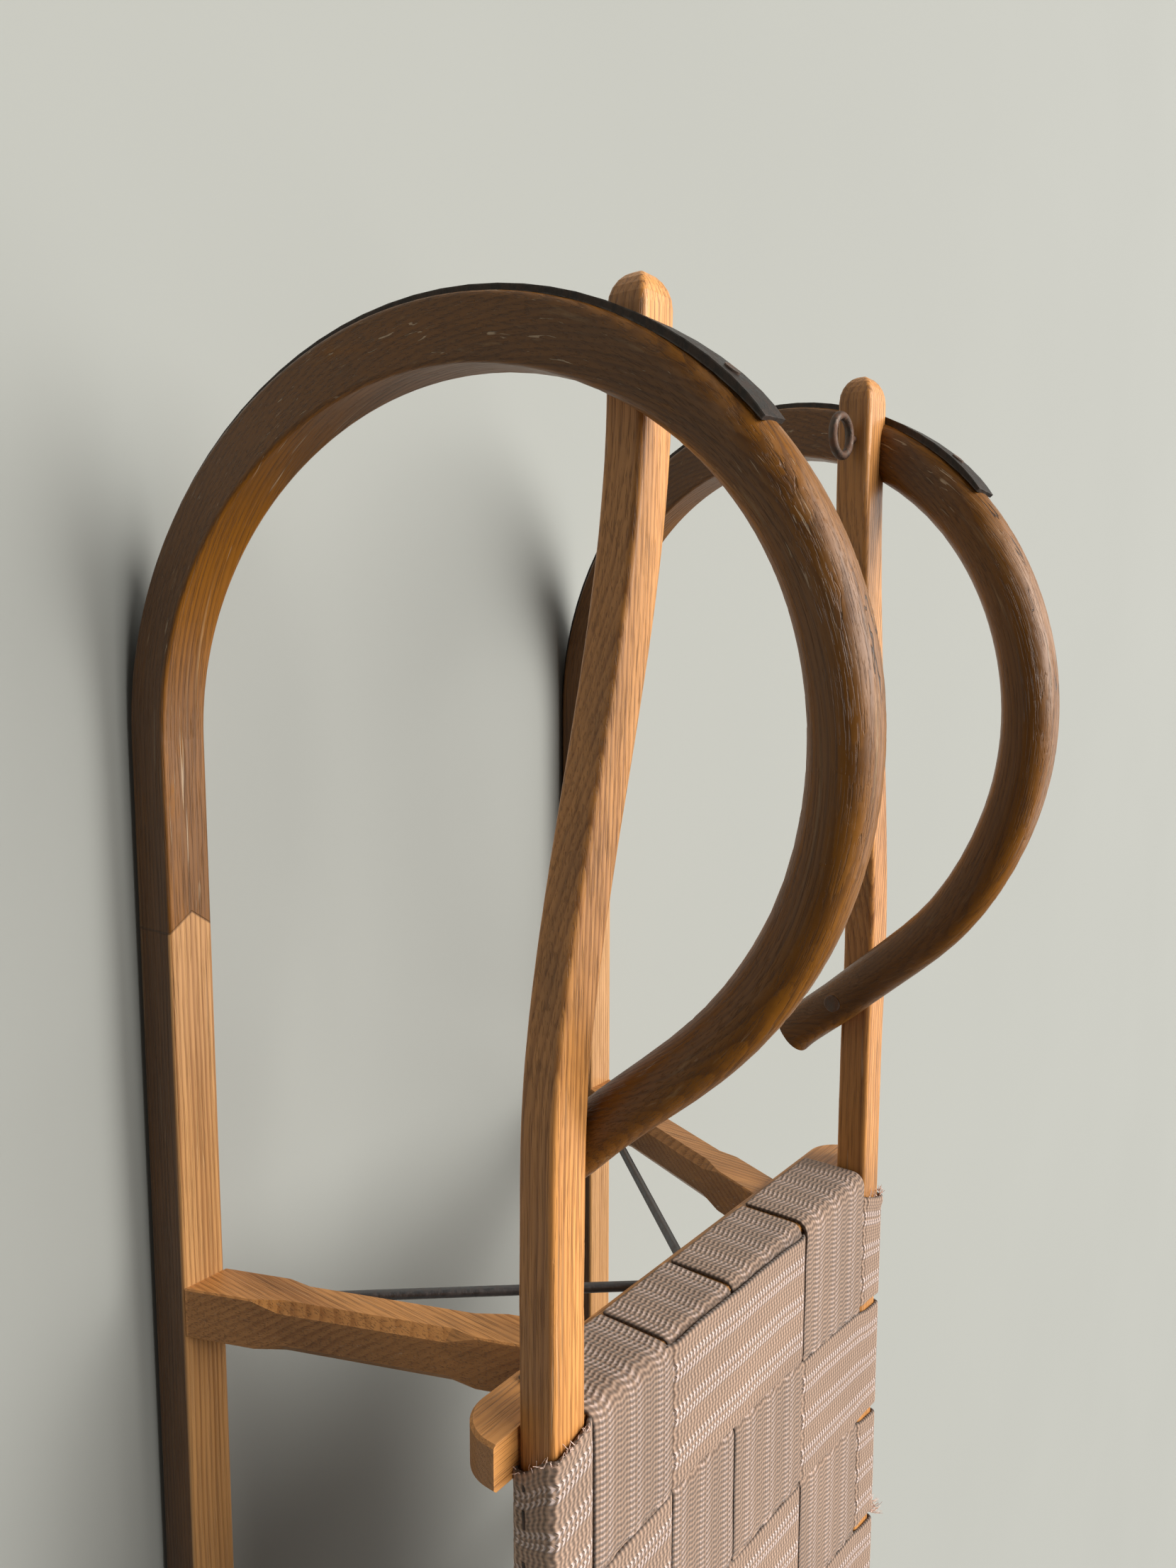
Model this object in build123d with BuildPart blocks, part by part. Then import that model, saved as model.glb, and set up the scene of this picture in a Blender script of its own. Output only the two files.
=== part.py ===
from build123d import *
import math
import os

os.makedirs("parts", exist_ok=True)

# A bentwood sled lying on its runners: +X forward, +Y left, +Z up, millimetres.
# The ground is Z = 0 and X = 0 is the middle of the whole length.

# ---- driving sizes -------------------------------------------------------
total_length = 1220.0
nose_x = total_length / 2
tail_x = -total_length / 2

# Runners: straight timber that curls up, over and back down to the seat rail.
runner_outer_y = 187.5  # outer face of each runner from the centre plane
runner_width = 24.6
runner_height = 28.2
bend_start_x = 414.0
bends = ((177.5, 66.0), (168.0, 132.0), (185.0, 31.0))  # radius, turn in degrees
curl_tail_length = 107.0
curl_left_short = 25.0  # the left curl ends this much sooner than the right one
curl_drift = 62.2  # how far the curl leans inwards
curl_drift_reach = 0.635  # share of the curl over which it leans in
curl_return = 21.0  # how far its end leans back out
curl_return_start = 0.75
curl_round_start = 0.34  # where the square timber starts to be rounded
curl_round_end = 0.56
curl_thick = 29.2
curl_end_thick = 25.6
runner_corner = 2.0

# Steel shoe under each runner.
shoe_width = 18.0
shoe_thick = 3.0
shoe_end_turn = 139.0  # degrees of curl that the shoe follows
shoe_bed = 0.6  # extra depth cut back by the runner
shoe_tail_gap = 6.0
shoe_steps = 14
shoe_screw_r = 3.6
shoe_flat_screws = 6
shoe_screw_pitch = 186.0
shoe_screw_turns = (48.0, 96.0, 131.0)
shoe_screw_proud = 0.7

# Seat rails.
rail_outer_y = 166.0
rail_width = 22.8
rail_height = 19.6
rail_bottom_z = 242.0
rail_corner = 3.0
rail_tail_x = -563.0
rail_bend_start = 252.0
rail_bend_end = 562.0
rail_bend_in = 46.0
rail_rise_start = 177.0
rail_rise_end = 597.0
rail_rise = 10.0
rail_tip_length = 14.0
rail_steps = 16

# Cross beams that carry the rails.
beam_thick = 21.5
beam_front_x = 131.5  # front face of the front beam
beam_half_length = 181.0
beam_bottom_z = 216.0
beam_top_z = 259.0
beam_corner = 22.0
beam_top_corner = 6.0
middle_beam_bottom_z = 204.0

# Posts between the runners and the beams.
post_size_x = 27.0
post_size_y = 26.0
post_setback = 6.25  # post centre behind beam centre
post_foot_y = 174.0
post_head_y = 99.0
post_chamfer = 5.0
post_edge = 0.8
post_plain_end = 36.0
post_tongue = 14.0
tenon_r = 6.0
tenon_length = 15.0

# Brace rods from the post feet to the middle of the beam.
rod_r = 2.75
rod_foot_z = 52.0
rod_head_y = 9.0
rod_setback = 7.0  # rod behind the beam centre
rod_socket = 8.0

# Webbing.
web_thick = 2.2
row_width = 75.0
row_gap = 1.0
rows_per_half = 4
strip_edges_y = (140.0, 77.0, 18.0, -60.0, -139.5)
strip_gap = 0.6
wrap_bare_z = 3.0  # bare wood left under the strips on the beam's face
web_clear = 0.2

# Fasteners and eyes.
eye_ring_r = 10.5
eye_wire_r = 2.4
eye_stem_length = 9.0
eye_x = 575.0
screw_head_r = 5.0
screw_head_proud = 1.2
screw_head_deep = 2.0
screw_shank_r = 2.3
screw_from_end = 44.0  # along the curl, back from its end
screw_bite = 13.0  # length in the rail
tack_r = 2.2
tack_proud = 0.9

# ---- derived sizes -------------------------------------------------------
runner_y = runner_outer_y - runner_width / 2
runner_z = shoe_thick + runner_height / 2
runner_top_z = shoe_thick + runner_height
rail_y = rail_outer_y - rail_width / 2
rail_mid_z = rail_bottom_z + rail_height / 2
rail_top_z = rail_bottom_z + rail_height
beam_x = beam_front_x - beam_thick / 2
row_pitch = row_width + row_gap
half_seat = rows_per_half * row_pitch - row_gap
middle_gap = beam_thick + 6.5
row_front_x = beam_front_x - 0.5
middle_beam_x = row_front_x - half_seat - middle_gap / 2
rear_beam_x = 2 * middle_beam_x - beam_x
curl_length = sum(r * math.radians(a) for r, a in bends) + curl_tail_length
strip_top_z = beam_top_z + web_clear + web_thick
row_bottom_z = rail_top_z + web_clear


def ease(value):
    """Smooth step from 0 to 1."""
    t = min(max(value, 0.0), 1.0)
    return t * t * (3 - 2 * t)


def bend_point(length):
    """X, Z and heading of the runner's centre line, measured from the bend's start."""
    x, z, heading = bend_start_x, runner_z, 0.0
    for radius, turn in bends:
        step = min(length, radius * math.radians(turn))
        new = heading + step / radius
        x += radius * (math.sin(new) - math.sin(heading))
        z += radius * (math.cos(heading) - math.cos(new))
        heading, length = new, length - step
    return x + length * math.cos(heading), z + length * math.sin(heading), heading


def drift_at(length):
    """Inward lean of the curl at this length."""
    t = length / curl_length
    back = ease((t - curl_return_start) / (1 - curl_return_start))
    return curl_drift * ease(t / curl_drift_reach) - curl_return * back


def bend_plane(length, side, outward=0.0):
    """Plane square to the runner, its local X inwards-outwards and local Y away from the curl."""
    x, z, heading = bend_point(length)
    slope = (drift_at(length + 1) - drift_at(length - 1)) / 2 if length > 1 else 0.0
    along = Vector(math.cos(heading), -side * slope, math.sin(heading)).normalized()
    out = Vector(math.sin(heading), 0, -math.cos(heading))
    centre = Vector(x, side * (runner_y - drift_at(length)), z) + out * outward
    return Plane(origin=centre, x_dir=along.cross(out).normalized(), z_dir=along)


def turn_length(turn):
    """Length along the curl at which it has turned this many degrees."""
    length = 0.0
    for radius, part in bends:
        step = min(turn, part)
        length += radius * math.radians(step)
        turn -= step
    return length


def curl_section(length):
    """Width, height and corner radius of the runner at this length."""
    t = length / curl_length
    blend = ease((t - curl_round_start) / (curl_round_end - curl_round_start))
    thick = curl_thick + (curl_end_thick - curl_thick) * ease((t - 0.5) / 0.5)
    width = runner_width + (thick - runner_width) * blend
    height = runner_height + (thick - runner_height) * blend
    return width, height, runner_corner + (0.47 * min(width, height) - runner_corner) * blend


def rail_line(x):
    """Centre of the left rail at this X."""
    inward = rail_bend_in * ease((x - rail_bend_start) / (rail_bend_end - rail_bend_start))
    lift = rail_rise * ease((x - rail_rise_start) / (rail_rise_end - rail_rise_start))
    return rail_y - inward, rail_mid_z + lift


def save(builder, name):
    """Label one node and write it out."""
    builder.part.label = name
    export_step(builder.part, f"parts/{name}.step")


sides = (("left", 1), ("right", -1))
beam_places = (("front", beam_x), ("middle", middle_beam_x), ("rear", rear_beam_x))


def beam_underside(place):
    return middle_beam_bottom_z if place == "middle" else beam_bottom_z


def post_y(z, place):
    """Middle of the leaning post at this height."""
    share = (z - runner_top_z) / (beam_underside(place) - runner_top_z)
    return post_foot_y + (post_head_y - post_foot_y) * share


def shoe_screw_frames(side):
    """Seats of the shoe's screws: origin on the runner's face, Z pointing out of it."""
    flat = [
        Plane(
            origin=(tail_x + 60 + i * shoe_screw_pitch, side * runner_y, shoe_thick),
            x_dir=(1, 0, 0),
            z_dir=(0, 0, -1),
        )
        for i in range(shoe_flat_screws)
    ]
    bent = []
    for turn in shoe_screw_turns:
        at = turn_length(turn)
        face = bend_plane(at, side, curl_section(at)[1] / 2)
        out = Vector(math.sin(math.radians(turn)), 0, -math.cos(math.radians(turn)))
        bent.append(Plane(origin=face.origin, x_dir=(0, 1, 0), z_dir=out))
    return flat + bent


seated = (Align.CENTER, Align.CENTER, Align.MIN)
rails, runners, screws, eyes, rods = {}, {}, {}, {}, {}

# ---- screws that hold the ends of the curls to the rails --------------------
screw_at = curl_length - screw_from_end
with BuildPart() as curl_screws:
    for side_name, side in sides:
        x, z, _ = bend_point(screw_at)
        face_y = runner_y - drift_at(screw_at) - curl_section(screw_at)[0] / 2
        seat = Plane(origin=(x, side * face_y, z), x_dir=(1, 0, 0), z_dir=(0, -side, 0))
        with BuildPart(mode=Mode.PRIVATE) as screw:
            with Locations(seat.offset(-screw_head_deep)):
                Cylinder(screw_head_r, screw_head_deep + screw_head_proud, align=seated)
            reach = rail_y - rail_width / 2 + screw_bite - face_y
            with Locations(seat.offset(-reach)):
                Cylinder(screw_shank_r, reach, align=seated)
        screws[side_name] = screw.part
        add(screw.part)
save(curl_screws, "curl_screws")

# ---- screw eyes for the tow line -------------------------------------------
for side_name, side in sides:
    y, z = rail_line(eye_x)
    face_y = y - rail_width / 2
    ring_y = face_y - eye_ring_r - eye_wire_r - 1.5
    with BuildPart() as eye:
        with Locations((eye_x, side * ring_y, z)):
            Torus(eye_ring_r, eye_wire_r)
        with Locations(Plane(origin=(eye_x, side * (ring_y + eye_ring_r), z), z_dir=(0, side, 0))):
            Cylinder(eye_wire_r, face_y - ring_y - eye_ring_r + eye_stem_length, align=seated)
    eyes[side_name] = eye.part
    save(eye, f"screw_eye_{side_name}")

# ---- seat rails ----------------------------------------------------------
rail_shoulder_x = nose_x - rail_tip_length
rail_stations = [
    rail_rise_start + (rail_shoulder_x - rail_rise_start) * i / rail_steps
    for i in range(rail_steps + 1)
]
tip_stations = [rail_shoulder_x + rail_tip_length * part for part in (0, 0.3, 0.55, 0.76, 0.91, 1)]
for side_name, side in sides:
    with BuildPart() as rail:
        with BuildSketch(Plane.YZ.offset(rail_tail_x)):
            with Locations((side * rail_y, rail_mid_z)):
                RectangleRounded(rail_width, rail_height, rail_corner)
        extrude(amount=rail_rise_start - rail_tail_x)
        chamfer(rail.faces().sort_by(Axis.X)[0].edges(), length=2.0)
        for x in rail_stations:
            y, z = rail_line(x)
            with BuildSketch(Plane.YZ.offset(x)):
                with Locations((side * y, z)):
                    RectangleRounded(rail_width, rail_height, rail_corner)
        loft()
        for x in tip_stations:
            y, z = rail_line(x)
            size = math.sqrt(1 - 0.93 * ((x - rail_shoulder_x) / rail_tip_length) ** 2)
            with BuildSketch(Plane.YZ.offset(x)):
                with Locations((side * y, z)):
                    RectangleRounded(rail_width * size, rail_height * size, rail_corner * size)
        loft(ruled=True)
        add(screws[side_name], mode=Mode.SUBTRACT)
        add(eyes[side_name], mode=Mode.SUBTRACT)
    rails[side_name] = rail.part
    save(rail, f"rail_{side_name}")

# ---- runners -------------------------------------------------------------
section_count = 24
for side_name, side in sides:
    with BuildPart() as runner:
        with BuildSketch(Plane.YZ.offset(tail_x)):
            with Locations((side * runner_y, runner_z)):
                RectangleRounded(runner_width, runner_height, runner_corner)
        extrude(amount=bend_start_x - tail_x)
        chamfer(runner.faces().sort_by(Axis.X)[0].edges(), length=1.6)
        curl_end = curl_length - (curl_left_short if side > 0 else 0.0)
        for i in range(section_count + 1):
            at = curl_end * i / section_count
            wide, high, corner = curl_section(at)
            with BuildSketch(bend_plane(at, side)):
                RectangleRounded(wide, high, corner)
        loft()
        for place, x in beam_places:
            with Locations((x, side * post_foot_y, runner_top_z)):
                Cylinder(tenon_r, tenon_length * 2, mode=Mode.SUBTRACT)
        add(screws[side_name], mode=Mode.SUBTRACT)
        add(rails[side_name], mode=Mode.SUBTRACT)
    runners[side_name] = runner.part
    save(runner, f"runner_{side_name}")

    # Steel shoe: flat under the straight part, then round the bend. It is made a little
    # deep and cut back by the runner, so the two meet face to face.
    shoe_end = turn_length(shoe_end_turn)
    with BuildPart() as shoe:
        with BuildSketch(Plane.YZ.offset(tail_x + shoe_tail_gap)):
            with Locations((side * runner_y, (shoe_thick + shoe_bed) / 2)):
                Rectangle(shoe_width, shoe_thick + shoe_bed)
        extrude(amount=bend_start_x - tail_x - shoe_tail_gap)
        for i in range(shoe_steps + 1):
            at = shoe_end * i / shoe_steps
            deep = shoe_thick * (1.0 if i < shoe_steps else 0.5) + shoe_bed
            out = curl_section(at)[1] / 2 - shoe_bed + deep / 2
            with BuildSketch(bend_plane(at, side, out)):
                Rectangle(shoe_width, deep)
        loft()
        add(runner.part, mode=Mode.SUBTRACT)
        for frame in shoe_screw_frames(side):
            with Locations(frame):
                Cylinder(shoe_screw_r, 4 * shoe_thick, mode=Mode.SUBTRACT)
    save(shoe, f"shoe_{side_name}")

# Screw heads along both shoes: flush underneath, a little proud on the curl.
with BuildPart() as shoe_screws:
    for side_name, side in sides:
        for n, frame in enumerate(shoe_screw_frames(side)):
            proud = 0.0 if n < shoe_flat_screws else shoe_screw_proud
            with Locations(frame.offset(-shoe_bed)):
                Cylinder(shoe_screw_r, shoe_bed + shoe_thick + proud, align=seated)
        add(runners[side_name], mode=Mode.SUBTRACT)
save(shoe_screws, "shoe_screws")

# ---- brace rods ------------------------------------------------------------
for place, x in (("front", beam_x), ("rear", rear_beam_x)):
    for side_name, side in sides:
        foot = Vector(x - rod_setback, side * (post_y(rod_foot_z, place) - post_size_y / 2), rod_foot_z)
        head = Vector(x - rod_setback, side * rod_head_y, beam_bottom_z)
        along = (head - foot).normalized()
        with BuildPart() as rod:
            with BuildSketch(Plane(origin=foot - along * rod_socket, z_dir=along)):
                Circle(rod_r)
            extrude(amount=(head - foot).length + 2 * rod_socket)
        rods[place, side_name] = rod.part
        save(rod, f"brace_rod_{place}_{side_name}")

# ---- posts: square timber with stopped chamfers, tenoned at both ends ---------
for place, x in beam_places:
    top = beam_underside(place)
    heights = (
        (runner_top_z, post_edge),
        (runner_top_z + post_plain_end, post_edge),
        (runner_top_z + post_plain_end + post_tongue, post_chamfer),
        (top - post_plain_end - post_tongue, post_chamfer),
        (top - post_plain_end, post_edge),
        (top, post_edge),
    )
    for side_name, side in sides:
        with BuildPart() as post:
            for z, cut in heights:
                with BuildSketch(Plane.XY.offset(z)):
                    with Locations((x - post_setback, side * post_y(z, place))):
                        outline = Rectangle(post_size_x, post_size_y)
                    chamfer(outline.vertices(), length=cut)
            loft(ruled=True)
            with Locations((x, side * post_foot_y, runner_top_z - tenon_length)):
                Cylinder(tenon_r, tenon_length, align=seated)
            with Locations((x, side * post_head_y, top)):
                Cylinder(tenon_r, tenon_length, align=seated)
            if (place, side_name) in rods:
                add(rods[place, side_name], mode=Mode.SUBTRACT)
        save(post, f"post_{place}_{side_name}")

# ---- cross beams -----------------------------------------------------------
for place, x in beam_places:
    low = beam_underside(place)
    high = rail_bottom_z if place == "middle" else beam_top_z
    with BuildPart() as beam:
        with BuildSketch(Plane.YZ.offset(x - beam_thick / 2)) as outline:
            with Locations((0, (low + high) / 2)):
                Rectangle(2 * beam_half_length, high - low)
            fillet(outline.vertices().group_by(Axis.Y)[0], radius=beam_corner)
            fillet(outline.vertices().group_by(Axis.Y)[-1], radius=beam_top_corner)
        extrude(amount=beam_thick)
        chamfer(beam.faces().filter_by(Axis.X).edges(), length=1.4)
        for side_name, side in sides:
            with Locations((x, side * post_head_y, low)):
                Cylinder(tenon_r, 2 * tenon_length, mode=Mode.SUBTRACT)
            if (place, side_name) in rods:
                add(rods[place, side_name], mode=Mode.SUBTRACT)
            add(rails[side_name], mode=Mode.SUBTRACT)
            # Outside the rail the beam is cut down to the rail's underside.
            outer = Align.MIN if side > 0 else Align.MAX
            with Locations((x, side * rail_y, rail_bottom_z)):
                Box(
                    2 * beam_thick, beam_half_length, rail_height + beam_corner,
                    align=(Align.CENTER, outer, Align.MIN), mode=Mode.SUBTRACT,
                )
    save(beam, f"beam_{place}")

# ---- lengthwise webbing: over both end beams and down their outer faces ----------
front_face = beam_x + beam_thick / 2 + web_clear
rear_face = rear_beam_x - beam_thick / 2 - web_clear
strip_low_z = beam_bottom_z + wrap_bare_z
for n, (edge, next_edge) in enumerate(zip(strip_edges_y, strip_edges_y[1:]), start=1):
    with BuildPart() as strip:
        with BuildSketch(Plane.XZ.offset(-edge)):
            with BuildLine():
                Polyline(
                    (front_face, strip_low_z),
                    (front_face + web_thick, strip_low_z),
                    (front_face + web_thick, strip_top_z),
                    (rear_face - web_thick, strip_top_z),
                    (rear_face - web_thick, strip_low_z),
                    (rear_face, strip_low_z),
                    (rear_face, strip_top_z - web_thick),
                    (front_face, strip_top_z - web_thick),
                    close=True,
                )
            make_face()
        extrude(amount=edge - next_edge - strip_gap)
        fillet(strip.edges().filter_by(Axis.Y).group_by(Axis.Z)[-1], radius=2.0)
    save(strip, f"web_strip_{n}")

# ---- crosswise webbing: over the seat and round both rails ----------------------
row_top_z = row_bottom_z + web_thick
wrap_y = rail_outer_y + web_clear
lip_low_z = rail_bottom_z - web_clear - web_thick
inner_y = rail_outer_y - rail_width + 4.0
first_rows = [row_front_x - row_width - i * row_pitch for i in range(rows_per_half)]
row_starts = first_rows + [2 * middle_beam_x - x - row_width for x in reversed(first_rows)]
beam_clear = beam_thick / 2 + 0.4
for n, start in enumerate(row_starts, start=1):
    wrap_from = max(start, rear_beam_x + beam_clear)
    wrap_to = min(start + row_width, beam_x - beam_clear)
    spans = [(wrap_from, wrap_to, lip_low_z)]
    # Over an end beam the webbing stops on the beam's shoulder beside the rail.
    if wrap_to < start + row_width:
        spans.append((wrap_to, start + row_width, rail_bottom_z + web_clear))
    if start < wrap_from:
        spans.append((start, wrap_from, rail_bottom_z + web_clear))
    with BuildPart() as row:
        for from_x, to_x, low_z in spans:
            with BuildSketch(Plane.YZ.offset(from_x)):
                with Locations((0, (lip_low_z + row_top_z) / 2)):
                    RectangleRounded(2 * (wrap_y + web_thick), row_top_z - lip_low_z, 2.0)
                with Locations((0, (rail_bottom_z - web_clear + row_bottom_z) / 2)):
                    Rectangle(
                        2 * wrap_y, row_bottom_z - rail_bottom_z + web_clear, mode=Mode.SUBTRACT
                    )
                with Locations((0, row_bottom_z - rail_height)):
                    Rectangle(2 * inner_y, 2 * rail_height, mode=Mode.SUBTRACT)
                with Locations((0, low_z)):
                    Rectangle(
                        4 * wrap_y, 2 * rail_height, align=(Align.CENTER, Align.MAX), mode=Mode.SUBTRACT
                    )
            extrude(amount=to_x - from_x)
        with Locations((start, 0, row_bottom_z)):
            Box(row_width, 2 * strip_edges_y[0], web_thick, align=(Align.MIN, Align.CENTER, Align.MIN))
    save(row, f"web_row_{n}")

# ---- tacks that hold the ends of the crosswise webbing under the rails ------------
with BuildPart() as tacks:
    for side_name, side in sides:
        for start in row_starts:
            for share in (0.3, 0.6):
                with Locations((start + row_width * share, side * rail_y, lip_low_z - tack_proud)):
                    Cylinder(tack_r, tack_proud, align=seated)
save(tacks, "web_tacks")
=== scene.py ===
"""Wooden toboggan: woven webbing seat, wood and steel finishes, floor, lights and camera."""

import bisect
import math
import random

import bmesh
import bpy
from bpy.props import FloatProperty, FloatVectorProperty, PointerProperty
from mathutils import Matrix, Vector, noise


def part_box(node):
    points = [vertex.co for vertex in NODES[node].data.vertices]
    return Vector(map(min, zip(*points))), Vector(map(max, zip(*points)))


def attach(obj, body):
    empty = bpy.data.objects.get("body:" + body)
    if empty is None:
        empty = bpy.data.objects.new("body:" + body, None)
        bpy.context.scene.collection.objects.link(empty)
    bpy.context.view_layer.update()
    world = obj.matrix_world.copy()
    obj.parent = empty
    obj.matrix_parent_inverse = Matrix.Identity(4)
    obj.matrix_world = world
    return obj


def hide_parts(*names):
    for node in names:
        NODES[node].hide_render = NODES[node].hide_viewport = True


bl_info = {
    "name": "Wooden Toboggan",
    "version": (1, 0, 0),
    "blender": (4, 5, 0),
    "location": "3D View > Sidebar > Toboggan",
    "description": "Weaves the seat of a wooden toboggan and finishes its wood and steel",
    "category": "Object",
}

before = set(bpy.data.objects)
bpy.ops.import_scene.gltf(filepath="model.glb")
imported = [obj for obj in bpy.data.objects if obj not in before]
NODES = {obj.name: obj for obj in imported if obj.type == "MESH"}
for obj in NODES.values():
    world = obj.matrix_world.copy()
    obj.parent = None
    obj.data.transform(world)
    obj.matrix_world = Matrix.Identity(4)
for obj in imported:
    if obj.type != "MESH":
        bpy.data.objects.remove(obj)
STRIPS = [f"web_strip_{i}" for i in range(1, 5)]
ROWS = [f"web_row_{i}" for i in range(1, 9)]

# A row passes over the strips marked True, counted from the left side of the seat.
ROW_OVER = ((False, True, True, False), (True, False, False, True))

# Distances from the middle of the sled: the rails' outer faces and the middle of a runner.
RAIL_SIDE = 0.166
RUNNER_SIDE = 0.1745

HALF_BAND = 0.0011  # half the thickness of the CAD's webbing
SCARF_X = 0.3262  # tip of the joint between the bent and the straight part of a runner
CURL_START = math.radians(115)  # where the grain's angle round the curl begins and ends
RUBBED = (0.62, 0.33, 0.13), (0.27, 0.11, 0.030)  # paler timber behind the joint


# ---------------------------------------------------------------- sizes and colours


class WebbingSettings(bpy.types.PropertyGroup):
    thickness: FloatProperty(
        name="Thickness", description="Thickness of the webbing", default=0.0021, unit="LENGTH"
    )
    rise: FloatProperty(
        name="Rise", description="How far a band lies above or below the middle of the weave",
        default=0.00115, unit="LENGTH",
    )
    turn: FloatProperty(
        name="Turn", description="Length over which a band changes from over to under",
        default=0.0075, unit="LENGTH",
    )
    lean: FloatProperty(
        name="Lean", description="How much further forward a row lies at the left rail",
        default=0.006, unit="LENGTH",
    )
    bow: FloatProperty(
        name="Bow", description="How far a row's ends fall back behind its middle",
        default=0.008, unit="LENGTH",
    )
    rib_pitch: FloatProperty(
        name="Rib pitch", description="Spacing of the light ribs", default=0.0225, unit="LENGTH"
    )
    yarn_pitch: FloatProperty(
        name="Yarn pitch", description="Length of one twill stitch", default=0.0029, unit="LENGTH"
    )
    ground: FloatVectorProperty(
        name="Ground", description="Colour of the jute ground", subtype="COLOR",
        default=(0.47, 0.30, 0.205), min=0.0, max=1.0,
    )
    rib: FloatVectorProperty(
        name="Rib", description="Colour of the light ribs", subtype="COLOR",
        default=(0.80, 0.61, 0.54), min=0.0, max=1.0,
    )


class WoodSettings(bpy.types.PropertyGroup):
    light: FloatVectorProperty(
        name="Light wood", description="Colour between the growth lines", subtype="COLOR",
        default=(0.80, 0.36, 0.105), min=0.0, max=1.0,
    )
    dark: FloatVectorProperty(
        name="Dark wood", description="Colour of the growth lines", subtype="COLOR",
        default=(0.29, 0.105, 0.022), min=0.0, max=1.0,
    )
    ring_pitch: FloatProperty(
        name="Growth pitch", description="Spacing of the growth lines", default=0.0027, unit="LENGTH"
    )
    curl_x: FloatProperty(
        name="Curl centre X", description="Centre that the curl's grain runs round",
        default=0.414, unit="LENGTH",
    )
    curl_z: FloatProperty(
        name="Curl centre Z", description="Height of the centre of the curl", default=0.193,
        unit="LENGTH",
    )
    curl_radius: FloatProperty(
        name="Curl radius", description="Radius of the middle of the curl", default=0.178,
        unit="LENGTH",
    )


class StageSettings(bpy.types.PropertyGroup):
    lens: FloatProperty(name="Lens", description="Focal length in millimetres", default=26.05)
    floor_size: FloatProperty(
        name="Floor size", description="Half the width of the floor", default=30.0, unit="LENGTH"
    )
    floor_colour: FloatVectorProperty(
        name="Floor colour", description="Colour of the floor", subtype="COLOR",
        default=(0.335, 0.34, 0.315), min=0.0, max=1.0,
    )
    key_strength: FloatProperty(
        name="Key strength", description="Strength of the soft light from above", default=4.25
    )
    fill_strength: FloatProperty(
        name="Fill strength", description="Strength of the soft light from the right", default=1.9
    )
    sky: FloatProperty(name="Sky", description="Strength of the light all round", default=0.10)
    backdrop: FloatVectorProperty(
        name="Backdrop colour", description="Colour seen behind the floor", subtype="COLOR",
        default=(0.545, 0.545, 0.505), min=0.0, max=1.0,
    )


# ---------------------------------------------------------------- node helpers


def calc(tree, operation, *values):
    """A Math node's result, from sockets and numbers."""
    node = tree.nodes.new("ShaderNodeMath")
    node.operation = operation
    for socket, value in zip(node.inputs, values):
        plug(tree, value, socket)
    return node.outputs[0]


def times(tree, first, second):
    return calc(tree, "MULTIPLY", first, second)


def plus(tree, first, second):
    return calc(tree, "ADD", first, second)


def minus(tree, first, second):
    return calc(tree, "SUBTRACT", first, second)


def wave(tree, value):
    """A sine of the value's turns, from 0 to 1."""
    swing = calc(tree, "SINE", times(tree, value, 2 * math.pi))
    return plus(tree, times(tree, swing, 0.5), 0.5)


def plug(tree, value, socket):
    """A number, a colour or another node's result given to a socket."""
    if isinstance(value, bpy.types.NodeSocket):
        tree.links.new(value, socket)
    else:
        socket.default_value = value


def spread(tree, value, low, high, to_low=0.0, to_high=1.0):
    """The value mapped smoothly from one range to another and held at its ends."""
    node = tree.nodes.new("ShaderNodeMapRange")
    node.interpolation_type = "SMOOTHSTEP"
    for socket, number in zip(node.inputs, (value, low, high, to_low, to_high)):
        plug(tree, number, socket)
    return node.outputs[0]


def vector(tree, x, y, z):
    node = tree.nodes.new("ShaderNodeCombineXYZ")
    for socket, value in zip(node.inputs, (x, y, z)):
        plug(tree, value, socket)
    return node.outputs[0]


def split(tree, value):
    node = tree.nodes.new("ShaderNodeSeparateXYZ")
    tree.links.new(value, node.inputs[0])
    return node.outputs


def stretched(tree, value, x, y, z):
    """The vector multiplied along each axis."""
    node = tree.nodes.new("ShaderNodeVectorMath")
    node.operation = "MULTIPLY"
    plug(tree, value, node.inputs[0])
    node.inputs[1].default_value = (x, y, z)
    return node.outputs[0]


def cloud(tree, value, scale=1.0, detail=2.0, roughness=0.5, distortion=0.0):
    node = tree.nodes.new("ShaderNodeTexNoise")
    plug(tree, value, node.inputs["Vector"])
    node.inputs["Scale"].default_value = scale
    node.inputs["Detail"].default_value = detail
    node.inputs["Roughness"].default_value = roughness
    node.inputs["Distortion"].default_value = distortion
    return node.outputs[0]


def blended(tree, factor, first, second, mode="MIX"):
    """Two colours mixed by a mask."""
    node = tree.nodes.new("ShaderNodeMix")
    node.data_type = "RGBA"
    node.blend_type = mode
    node.clamp_result = True
    plug(tree, factor, node.inputs[0])
    for value, socket in ((first, node.inputs[6]), (second, node.inputs[7])):
        if not isinstance(value, bpy.types.NodeSocket) and len(value) == 3:
            value = (*value, 1.0)
        plug(tree, value, socket)
    return node.outputs[2]


def new_group(name, inputs, outputs):
    """An empty shader node group with named sockets."""
    group = bpy.data.node_groups.new(name, "ShaderNodeTree")
    for label, kind, default in inputs:
        socket = group.interface.new_socket(label, in_out="INPUT", socket_type=kind)
        if default is not None:
            socket.default_value = default
    for label, kind in outputs:
        group.interface.new_socket(label, in_out="OUTPUT", socket_type=kind)
    return group, group.nodes.new("NodeGroupInput"), group.nodes.new("NodeGroupOutput")


COLOUR, NUMBER, VECTOR = "NodeSocketColor", "NodeSocketFloat", "NodeSocketVector"


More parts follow.
